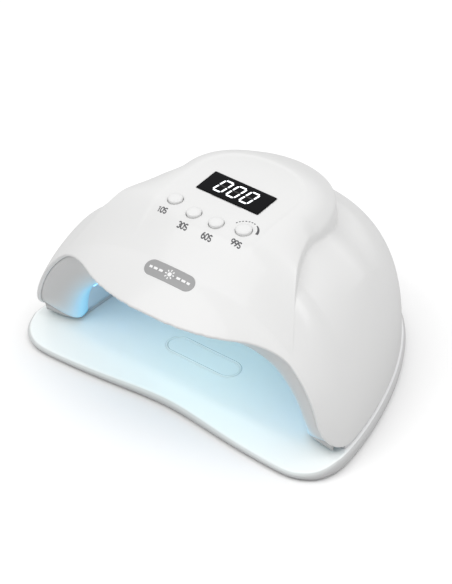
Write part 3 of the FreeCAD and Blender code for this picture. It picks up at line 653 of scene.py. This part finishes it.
def rounded_rectangle(half_x, half_y, radius, steps):
    """Corner points of a rounded rectangle, anticlockwise."""
    points = []
    for quarter, (sx, sy) in enumerate(((1, 1), (-1, 1), (-1, -1), (1, -1))):
        for k in range(steps + 1):
            a = math.pi / 2 * (quarter + k / steps)
            points.append((sx * (half_x - radius) + radius * math.cos(a),
                           sy * (half_y - radius) + radius * math.sin(a)))
    return points


def button_places():
    """Name, panel x, panel y and radius of each button, read from the frame."""
    found = []
    flange, back = 0.6, 0.12
    for body in BODIES:
        if not body.startswith("button_"):
            continue
        low, high = box_mm(body)
        x = (low[0] + high[0]) / 2
        along = ((low[1] + high[1]) / 2 - PANEL_Y) / math.cos(PANEL_TILT)
        found.append((body, x, along - back, (high[0] - low[0]) / 2 - flange))
    return found


BUTTONS = button_places()


# --- controls -------------------------------------------------------------------------------------

def make_buttons():
    """Four domed push buttons with soft shoulders."""
    bottom, wall_top, dome_rise, steps = -4.4, 0.3, 1.27, 24
    for name, x, y, radius in BUTTONS:
        profile = [(radius * k / 8, bottom) for k in range(1, 8)]
        profile += [(radius, bottom + 0.2), (radius, wall_top)]
        for step in range(1, steps):
            a = math.pi / 2 * step / steps
            profile.append((radius * math.cos(a) ** (2 / 2.6), wall_top + dome_rise * math.sin(a)))
        piece = lathe(name + "_cap", profile, on_panel(x, y, 0))
        dress(piece, WHITE_BUTTON, name, "button", name)


def make_window():
    """The black window, with softly broken edges, almost flush in its seat."""
    rings = []
    for inset, z in ((0.3, -1.2), (0.0, -1.0), (0.0, -0.18), (0.06, -0.08), (0.18, -0.03),
                     (0.5, 0.0), (3.0, 0.0), (6.0, 0.0)):
        outline = rounded_rectangle(WINDOW_X - inset, WINDOW_Y - inset, max(0.6 - inset, 0.25), 6)
        rings.append([on_panel(x, WINDOW_SHIFT + y, z) @ Vector((0, 0, 0)) for x, y in outline])
    piece = closed_rings("window_lens", np.array(rings, float))
    dress(piece, BLACK_GLASS, "lamp", "window", "display_window")


def prism(outline, low, high, place):
    """Points and faces of a flat polygon given depth."""
    count = len(outline)
    points = [place @ Vector((x, y, z)) for z in (low, high) for x, y in outline]
    faces = [tuple(range(count))[::-1], tuple(range(count, 2 * count))]
    faces += [(k, (k + 1) % count, count + (k + 1) % count, count + k) for k in range(count)]
    return points, faces


def merged(name, parts):
    """One object from several lists of points and faces."""
    points, faces = [], []
    for part_points, part_faces in parts:
        base = len(points)
        points += part_points
        faces += [tuple(base + k for k in face) for face in part_faces]
    return make_mesh(name, np.array(points, float), faces)


def flat_shaded(piece):
    """The piece with every face shaded flat."""
    piece.data.polygons.foreach_set("use_smooth", [False] * len(piece.data.polygons))
    return piece


def make_digits():
    """Three slanted seven-segment noughts, with the unlit middle bars left dark."""
    lit, dark = [], []
    height, width, thick, gap = 10.3, 5.6, 1.05, 0.28
    slant, pitch = math.tan(math.radians(9)), 9.1
    for centre in (-pitch, 0.0, pitch):
        half_w, half_h = width / 2, height / 2
        bars = []
        for level in (half_h, -half_h, 0.0):
            bars.append(((-half_w, level), (half_w, level), level == 0.0))
        for side in (-half_w, half_w):
            bars.append(((side, 0.0), (side, half_h), False))
            bars.append(((side, -half_h), (side, 0.0), False))
        for (ax, ay), (bx, by), unlit in bars:
            a, b = Vector((ax, ay)), Vector((bx, by))
            way = (b - a).normalized()
            side = Vector((-way.y, way.x))
            a, b = a + way * gap, b - way * gap
            tip = thick / 2
            hexagon = [a, a + way * tip - side * tip, b - way * tip - side * tip,
                       b, b - way * tip + side * tip, a + way * tip + side * tip]
            outline = [(centre + p.x + slant * p.y, p.y) for p in hexagon]
            part = prism(outline, 0.005, 0.03, on_panel(0, WINDOW_SHIFT, 0))
            (dark if unlit else lit).append(part)
    piece = flat_shaded(merged("display_digits", lit))
    dress(piece, DIGIT_GLOW, "lamp", "window")
    piece = flat_shaded(merged("display_unlit_bars", dark))
    dress(piece, BLACK_PLASTIC, "lamp", "window")


def lay_on_shell(piece, lift):
    """Drops a flat piece in the plan onto the shell, its upper side standing lift above it."""
    sunk = -0.15
    for vertex in piece.data.vertices:
        height = shell_height(vertex.co.x / MM, vertex.co.y / MM)[0]
        vertex.co.z = (height + (lift if vertex.co.z > 0 else sunk)) * MM


def ribbon(line, half, closed=False):
    """Points and faces of a printed stroke along a line in the plan, half being its half-width."""
    line = [Vector(point) for point in line]
    count = len(line)
    widths = half if isinstance(half, (list, tuple)) else [half] * count
    points, faces = [], []
    for k, point in enumerate(line):
        before = line[k - 1] if closed or k else point
        after = line[(k + 1) % count] if closed or k < count - 1 else point
        way = (after - before).normalized()
        side = Vector((-way.y, way.x)) * widths[k]
        for edge, z in ((point + side, -0.05), (point - side, -0.05),
                        (point - side, 0.05), (point + side, 0.05)):
            points.append(Vector((edge.x, edge.y, z)))
    for k in range(count if closed else count - 1):
        a, b = 4 * k, 4 * ((k + 1) % count)
        faces += [(a + m, a + (m + 1) % 4, b + (m + 1) % 4, b + m) for m in range(4)]
    if not closed:
        end = 4 * (count - 1)
        faces += [(3, 2, 1, 0), (end, end + 1, end + 2, end + 3)]
    return points, faces


def arc_line(x, y, reach_x, reach_y, start, end, steps=14):
    """Points along part of an ellipse, between two angles in degrees."""
    angles = [math.radians(start + (end - start) * k / steps) for k in range(steps + 1)]
    return [(x + reach_x * math.cos(a), y + reach_y * math.sin(a)) for a in angles]


def glyph(letter):
    """The strokes of a figure or of the letter S, one unit high, as (line, closed) pairs."""
    wide, top = 0.28, 0.5
    if letter == "0":
        return [(arc_line(0, 0, wide, top, 0, 345, 23), True)]
    if letter == "1":
        return [([(-0.17, 0.3), (0.06, 0.48), (0.06, -0.5)], False)]
    if letter == "3":
        return [(arc_line(-0.03, 0.25, 0.27, 0.25, 150, -90), False),
                (arc_line(-0.03, -0.25, 0.29, 0.25, 90, -150), False)]
    if letter in "69":
        flip = 1 if letter == "6" else -1
        ring = arc_line(0, -0.2, wide, 0.3, 0, 345, 23)
        tail = arc_line(0.16, -0.16, 0.44, 0.66, 180, 98, 8)
        return [([(flip * x, flip * y) for x, y in ring], True),
                ([(flip * x, flip * y) for x, y in tail], False)]
    # What is left is the S, in one stroke.
    upper = arc_line(0, 0.25, 0.26, 0.25, 30, 270)
    lower = arc_line(0, -0.25, 0.26, 0.25, 90, -150)
    return [(upper + lower[1:], False)]


def make_time_marks():
    """The seconds printed in front of each button."""
    tall, wide, pitch, stroke = 2.7, 3.2, 2.25, 0.31
    in_front, spread = 9.1, 1.08
    for name, x, y, _ in BUTTONS:
        ahead = PANEL_Y + y * math.cos(PANEL_TILT) - in_front
        parts = []
        for place, letter in enumerate(name.split("_")[1].upper()):
            middle = x * spread + (place - 1) * pitch
            for line, closed in glyph(letter):
                laid = [(middle + wide * u, ahead + tall * v) for u, v in line]
                parts.append(ribbon(laid, stroke, closed))
        mark = merged("mark_" + name.split("_")[1], parts)
        lay_on_shell(mark, PRINT_LIFT)
        dress(flat_shaded(mark), PRINT_GREY, "lamp", "badge")


def make_power_arc():
    """The dashed arc behind the last button that shows the gentle-start mode."""
    _, x, y, _ = BUTTONS[-1]
    radius, half, dash, taper = 7.9, 0.3, 3.5, 16
    centre_y = PANEL_Y + y * math.cos(PANEL_TILT)
    parts = []
    for middle in range(157, 70, -13):
        line = arc_line(x, centre_y, radius, radius, middle - dash, middle + dash, 4)
        parts.append(ribbon(line, half))
    sweep = arc_line(x, centre_y, radius, radius, 64, 8, taper)
    parts.append(ribbon(sweep, [half + 0.55 * k / taper for k in range(taper + 1)]))
    piece = merged("power_arc", parts)
    lay_on_shell(piece, PRINT_LIFT)
    dress(flat_shaded(piece), PRINT_GREY, "lamp", "badge")


def capsule_ring(half_length, radius, steps=14, straight=24):
    """Outline of a bar with round ends, evenly divided along its straight sides."""
    points = []
    for side in (1, -1):
        centre = side * (half_length - radius)
        for k in range(steps + 1):
            a = math.pi * k / steps - side * math.pi / 2
            points.append((centre + radius * math.cos(a), radius * math.sin(a)))
        for k in range(1, straight):
            points.append((centre * (1 - 2 * k / straight), side * radius))
    return points


def face_place(x, y):
    """A point of the sloped front face in the plan, with y measured up the slope."""
    return x, BADGE_Y + y * math.cos(BADGE_SLOPE)


def motif_shapes():
    """The outlines of a small sun with three bars on each side."""
    sun, ray_start, ray_end, ray_half, bar_half = 1.3, 1.9, 3.1, 0.36, 0.7
    turn = np.linspace(0, 2 * math.pi, 24)[:-1]
    shapes = [[(sun * math.cos(a), sun * math.sin(a)) for a in turn]]
    for k in range(8):
        a = math.pi / 4 * k
        way, side = Vector((math.cos(a), math.sin(a))), Vector((-math.sin(a), math.cos(a)))
        start, end, half = way * ray_start, way * ray_end, side * ray_half
        corners = (start - half, end - half, end + half, start + half)
        shapes.append([tuple(corner) for corner in corners])
    for side in (-1, 1):
        for near, far in ((4.8, 7.4), (8.4, 11.0), (12.0, 14.0)):
            shapes.append([(side * x, y) for x, y in ((near, -bar_half), (far, -bar_half),
                                                      (far, bar_half), (near, bar_half))])
    return shapes


def make_badge():
    """A blank oval badge that follows the front face, with its motif printed on it."""
    rings = []
    foot, middle = -0.5, BADGE_RADIUS - 0.1
    for inset, lift in ((middle, foot), (2.5, foot), (0.0, foot), (0.0, 0.12), (0.12, 0.22),
                        (0.4, 0.26), (2.0, BADGE_FACE), (3.5, BADGE_FACE), (middle, BADGE_FACE)):
        ring = []
        for x, y in capsule_ring(BADGE_HALF - inset, BADGE_RADIUS - inset):
            px, py = face_place(x, y)
            ring.append((px, py, shell_height(px, py)[0] + lift))
        rings.append(ring)
    piece = closed_rings("badge_oval", np.array(rings, float))
    dress(piece, BADGE_GREY, "lamp", "badge", "blank_badge")
    parts = []
    for shape in motif_shapes():
        placed = [face_place(x, y) for x, y in shape]
        parts.append(prism(placed, -0.05, 0.05, Matrix.Identity(4)))
    motif = merged("badge_motif", parts)
    lay_on_shell(motif, BADGE_FACE + 0.04)
    dress(flat_shaded(motif), PRINT_WHITE, "lamp", "badge")


# --- opening, vault and tray ----------------------------------------------------------------------

def vault_arch(y, extra):
    """The vault's arch at y, grown by extra, from the right foot over to the left one."""
    half = VAULT_HIGH[0]
    mouth, rear = VAULT_LOW[1], VAULT_HIGH[1] + 5.0
    share = min(max((y - mouth) / (rear - mouth), 0.0), 1.0)
    base, crown = VAULT_LOW[2], VAULT_HIGH[2]
    angle = np.linspace(0, math.pi, 721)
    power = 2 / 2.3
    reach = half * (1 - share ** 3.9) ** (1 / ROUND) + extra
    rise = (crown - base) * (1 - share ** 5) ** (1 / ROUND) + extra
    x = reach * np.sign(np.cos(angle)) * np.abs(np.cos(angle)) ** power
    z = base + rise * np.sin(angle) ** power
    return np.stack([x, np.full_like(x, y), z], 1)


def lip_line(count):
    """The shell's inner edge round the opening, from the right foot over to the left one."""
    shell = shell_grid()
    inside = shell[-1] - normals_of(shell)[-1] * (WALL + 0.15)
    half = inside[:len(inside) // 2]
    leg_end = -60.5
    foot = int(np.argmax(half[:, 1] > leg_end))
    right = half[:foot][::-1]
    left = right[-2::-1] * np.array([-1, 1, 1])
    return evenly(np.vstack([right, left]), count)


def even_arch(y, extra, count):
    """The vault's arch at y, divided evenly along its length."""
    return evenly(vault_arch(y, extra), count)


def make_sills(front):
    """The two short walls that close the gap between the funnel's feet and the base frame."""
    for side, column in (("right", 0), ("left", -1)):
        top = front[:, column]
        foot = top * (1, 1, 0) + (0, 1.5, VAULT_LOW[2])
        wall = np.stack([top, foot], axis=1)
        piece = sheet_solid("opening_sill_" + side, wall, wall + (0, SHEET, 0))
        # The sills take the grey of painted shade.
        dress(piece, BEZEL_PAINTED_SHADE, "lamp", "bezel")


def make_bezel():
    """The funnel that rounds from the shell's edge into the vault's mouth, grey with painted shade
    and a painted blue glow towards the vault.
    """
    count, rows_deep, low = 161, 34, VAULT_LOW[2]
    lip = lip_line(count)
    corner = even_arch(CORNER_Y, -CORNER_INSET, count)
    corner[:, 1] += 2.0 * smooth((32.0 - corner[:, 2]) / 20.0)
    inner = even_arch(FUNNEL_END, -2.25, count)
    leave = lip + FUNNEL_PULL * (corner - lip)
    arrive = inner + FUNNEL_PULL * (corner - inner)
    rows = []
    for t in np.linspace(0, 1, rows_deep):
        rows.append((1 - t) ** 3 * lip + 3 * (1 - t) ** 2 * t * leave
                    + 3 * (1 - t) * t * t * arrive + t ** 3 * inner)
    front = np.array(rows)
    front[:, :, 2] = np.maximum(front[:, :, 2], low + 0.3)
    make_sills(front)
    normal = np.cross(np.gradient(front, axis=0), np.gradient(front, axis=1))
    normal /= np.maximum(np.linalg.norm(normal, axis=2, keepdims=True), 1e-9)
    if normal[rows_deep // 3, count // 2, 2] < 0:
        normal = -normal
    piece = sheet_solid("opening_funnel", front, front + normal * SHEET)
    dress(piece, FUNNEL_PAINTED_SHADE_GLOW, "lamp", "bezel", "opening_bezel")


def make_liner():
    """The white vault over the hand, closed by its rear wall."""
    count, rows_deep, thickness = 121, 44, 2.0
    mouth, rear = VAULT_LOW[1] + 10.0, VAULT_HIGH[1]
    skins = []
    for extra, end in ((-thickness, rear - thickness), (0.0, rear)):
        rows = [even_arch(y, extra, count) for y in np.linspace(mouth, end, rows_deep)]
        for share in (0.8, 0.6, 0.4, 0.2, 0.0):
            row = rows[rows_deep - 1].copy()
            row[:, 2] = VAULT_LOW[2] + share * (row[:, 2] - VAULT_LOW[2])
            rows.append(row)
        skins.append(np.array(rows))
    piece = sheet_solid("vault_liner", skins[0], skins[1])
    dress(piece, VAULT_WHITE, "lamp", "liner", "inner_liner")


def periodic_spline(points, count):
    """A smooth closed curve through the points, sampled evenly in its own parameter."""
    points = np.asarray(points, float)
    n = len(points)
    matrix = np.zeros((n, n))
    for k in range(n):
        matrix[k, k] = 4
        matrix[k, (k - 1) % n] = matrix[k, (k + 1) % n] = 1
    slope = np.linalg.solve(matrix, 3 * (np.roll(points, -1, 0) - np.roll(points, 1, 0)))
    out = []
    for t in np.linspace(0, n, count, endpoint=False):
        k = int(t)
        u = t - k
        a, b = points[k % n], points[(k + 1) % n]
        da, db = slope[k % n], slope[(k + 1) % n]
        out.append(a * (2 * u**3 - 3 * u**2 + 1) + da * (u**3 - 2 * u**2 + u)
                   + b * (3 * u**2 - 2 * u**3) + db * (u**3 - u**2))
    return np.array(out)


def tray_outline(count):
    """The tray's plan: a dished front edge, round corners and a swept back."""
    wide, rear, front = TRAY_HIGH[0] - 0.1, TRAY_HIGH[1] - 0.1, -TRAY_LOW[1]
    widest = -57.0
    right = [(0, rear)]
    for y in (rear - 3, 80, 66, 50, 32, 12, -10, -34, -56):
        share = max((y - widest) / (rear - widest), 0.0)
        right.append((wide * (1 - share ** 1.4) ** (1 / ROUND), y))
    right += [(wide - 1.5, -front + 15.4), (wide - 6, -front + 7.4), (wide - 14.5, -front + 1.9)]
    right += [(wide - 26, -front), (63, -front + 0.7), (42, -front + 2.4)]
    right += [(22, -front + 4.6), (0, -front + 6.0)]
    ring = right + [(-x, y) for x, y in reversed(right[1:-1])]
    return periodic_spline(ring, count)


def tray_ring(outline, inset, z):
    """The outline drawn in by the inset, at one level, with the front ramp taken into account."""
    ahead = np.roll(outline, -1, 0) - np.roll(outline, 1, 0)
    inward = np.stack([-ahead[:, 1], ahead[:, 0]], 1)
    inward /= np.linalg.norm(inward, axis=1, keepdims=True)
    middle = np.array([0.0, 5.0])
    toward = middle - outline
    flip = np.sign((inward * toward).sum(1, keepdims=True))
    border = 8.0
    moved = outline + inward * flip * min(inset, border)
    if inset > border:
        moved = moved + (middle - moved) * np.clip((inset - border) / 90.0, 0, 0.985)
    ramp = RAMP_DROP * np.clip((TRAY_LOW[1] + RAMP_LENGTH - moved[:, 1]) / RAMP_LENGTH, 0, 1.2)
    height = z - ramp * max(z - TRAY_LOW[2], 0.0) / 8.0
    return np.column_stack([moved, height])


def make_tray():
    """The lift-off tray: rolled rim, flat floor that slopes to the front, hollow underneath."""
    outline = tray_outline(420)
    under = [(inset, TRAY_UNDER) for inset in (90, 60, 30, 9)]
    under += [(6.4, 6.8), (6.0, 6.4), (5.9, 2.2), (5.5, 1.4), (4.6, 1.05), (2.6, 1.0)]
    side = [(1.5, 1.25), (0.8, 1.9), (0.4, 2.9), (0.15, 4.2), (0.02, 5.4), (0.0, 6.4)]
    rim = [(0.12, 7.3), (0.45, 8.1), (1.0, 8.75), (1.7, 9.12), (2.5, 9.22), (3.3, 9.12),
           (4.2, 8.98), (5.5, 8.92)]
    floor = [(inset, TRAY_FLOOR) for inset in (8, *np.linspace(10, 98, 26))]
    profile = under + side + rim + floor
    piece = closed_rings("tray_plate", np.array([tray_ring(outline, i, z) for i, z in profile]))
    dress(piece, TRAY_PAINTED_SHADE, "tray", "tray", "base_tray")
    rings = []
    section = ((-0.9, -0.02), (-0.6, 0.1), (-0.25, 0.32), (0.0, 0.4), (0.25, 0.32),
               (0.6, 0.1), (0.9, -0.02))
    for spread, rise in section:
        oval = capsule_ring(OVAL_HALF + spread, OVAL_RADIUS + spread, 24)
        rings.append([(x + OVAL_X, y + OVAL_Y, TRAY_FLOOR + rise) for x, y in oval])
    for ring in (rings[-1], rings[0]):
        rings.append([(x, y, TRAY_FLOOR - 0.4) for x, y, _ in ring])
    ridge = np.array(rings + rings[:1], float)
    rows, columns = ridge.shape[:2]
    piece = make_mesh("tray_oval_ridge", ridge.reshape(-1, 3), ring_faces(rows, columns))
    dress(piece, TRAY_PAINTED_SHADE, "tray", "tray")


# --- what the frame brings along ------------------------------------------------------------------

def dress_frame_nodes():
    """Materials for the CAD nodes that stay as they are."""
    by_slot = {"liner": VAULT_WHITE, "frame": FRAME_WHITE, "board": BOARD_GREEN, "led": LED_GLOW,
               "module": BLACK_PLASTIC, "rubber": RUBBER, "steel": STEEL, "black": BLACK_PLASTIC,
               "tray": TRAY_PAINTED_SHADE, "shell": WHITE_SHELL, "bezel": BEZEL_PAINTED_SHADE,
               "window": BLACK_GLASS, "button": WHITE_BUTTON, "badge": BADGE_GREY}
    for part in frame["record"]["subparts"]:
        node = frame["nodes"][part["node"]]
        node.data.materials.clear()
        node.data.materials.append(by_slot[part["material_slot"]])


# --- stage ----------------------------------------------------------------------------------------

def area_light(name, place, aim, width, depth, power, colour=(1, 1, 1)):
    """A soft rectangular light, aimed at a point."""
    light = bpy.data.lights.new(name, "AREA")
    light.shape = "RECTANGLE"
    light.size, light.size_y = width, depth
    light.energy = power
    light.color = colour
    lamp = bpy.data.objects.new(name, light)
    lamp.location = place
    lamp.rotation_euler = (Vector(aim) - Vector(place)).to_track_quat("-Z", "Y").to_euler()
    bpy.context.scene.collection.objects.link(lamp)
    return lamp


def floor_material():
    """A white sweep: bright to the camera, quieter in what it throws back at the lamp."""
    material, nodes, links, shader = new_material("floor_white")
    path = nodes.new("ShaderNodeLightPath")
    tone = nodes.new("ShaderNodeMix")
    tone.data_type = "RGBA"
    tone.inputs["A"].default_value = (0.6, 0.6, 0.6, 1)
    tone.inputs["B"].default_value = (0.96, 0.96, 0.96, 1)
    links.new(path.outputs["Is Camera Ray"], tone.inputs["Factor"])
    links.new(tone.outputs["Result"], shader.inputs["Base Color"])
    shader.inputs["Roughness"].default_value = 0.9
    shader.inputs["Specular IOR Level"].default_value = 0.1
    return material


def soft_sky():
    """An even white surround, brighter overhead than at the horizon."""
    world = bpy.data.worlds.new("studio")
    world.use_nodes = True
    nodes, links = world.node_tree.nodes, world.node_tree.links
    place = nodes.new("ShaderNodeTexCoord")
    axes = nodes.new("ShaderNodeSeparateXYZ")
    ramp = nodes.new("ShaderNodeMapRange")
    ramp.inputs["To Min"].default_value = 0.6
    ramp.inputs["To Max"].default_value = 1.15
    links.new(place.outputs["Generated"], axes.inputs["Vector"])
    links.new(axes.outputs["Z"], ramp.inputs["Value"])
    links.new(ramp.outputs["Result"], nodes["Background"].inputs["Strength"])
    nodes["Background"].inputs["Color"].default_value = (1, 1, 1, 1)
    return world


def make_stage():
    """A pale floor, soft light from all round, the tray's own glow and the camera."""
    bpy.ops.mesh.primitive_plane_add(size=12, location=(0, 0, 0))
    floor = bpy.context.object
    floor.name = "stage_floor"
    floor.data.materials.append(floor_material())
    bpy.context.scene.world = soft_sky()
    area_light("key", (-0.5, -0.9, 1.2), (0, 0, 0.05), 0.9, 0.9, 4.0)
    area_light("side", (0.8, 0.1, 1.2), (0, 0, 0.05), 0.8, 0.8, 3.0)
    make_glow()
    make_camera()
    bpy.context.scene.view_settings.view_transform = "Standard"


def make_glow():
    """The pale blue light on the tray, which falls on nothing else."""
    lit = bpy.data.collections.new("lit_tray")
    for name in ("tray_plate", "tray_oval_ridge"):
        lit.objects.link(bpy.data.objects[name])
    pale = (0.64, 0.99, 0.93)
    glows = (area_light("tray_glow", (0, -0.01, 0.055), (0, -0.011, 0), 0.15, 0.09, 0.0155, pale),
             area_light("mouth_glow", (0, -0.055, 0.056), (0, -0.056, 0), 0.17, 0.02, 0.007, pale),
             area_light("tray_fill", (0, -0.3, 0.3), (0, -0.06, 0), 0.4, 0.3, 0.26, pale))
    for glow in glows:
        glow.light_linking.receiver_collection = lit


def make_camera():
    """A long lens from the front right, well above the lamp."""
    camera_data = bpy.data.cameras.new("camera")
    camera_data.sensor_fit = "VERTICAL"
    camera_data.sensor_height = 36.0
    camera_data.lens = 163.1
    camera = bpy.data.objects.new("camera", camera_data)
    azimuth, elevation, distance = math.radians(38.59), math.radians(36.19), 1.5
    aim = Vector((-7.06, -13.68, 41.41)) * MM
    back = Vector((math.sin(azimuth) * math.cos(elevation),
                   -math.cos(azimuth) * math.cos(elevation), math.sin(elevation)))
    camera.location = aim + back * distance
    camera.rotation_euler = (-back).to_track_quat("-Z", "Y").to_euler()
    bpy.context.scene.collection.objects.link(camera)
    bpy.context.scene.camera = camera


shell = make_shell()
subtract(shell, panel_cutters())
dress(shell, WHITE_SHELL, "lamp", "shell", "outer_shell")
make_buttons()
make_window()
make_digits()
make_time_marks()
make_power_arc()
make_badge()
make_bezel()
make_liner()
make_tray()
dress_frame_nodes()
make_stage()
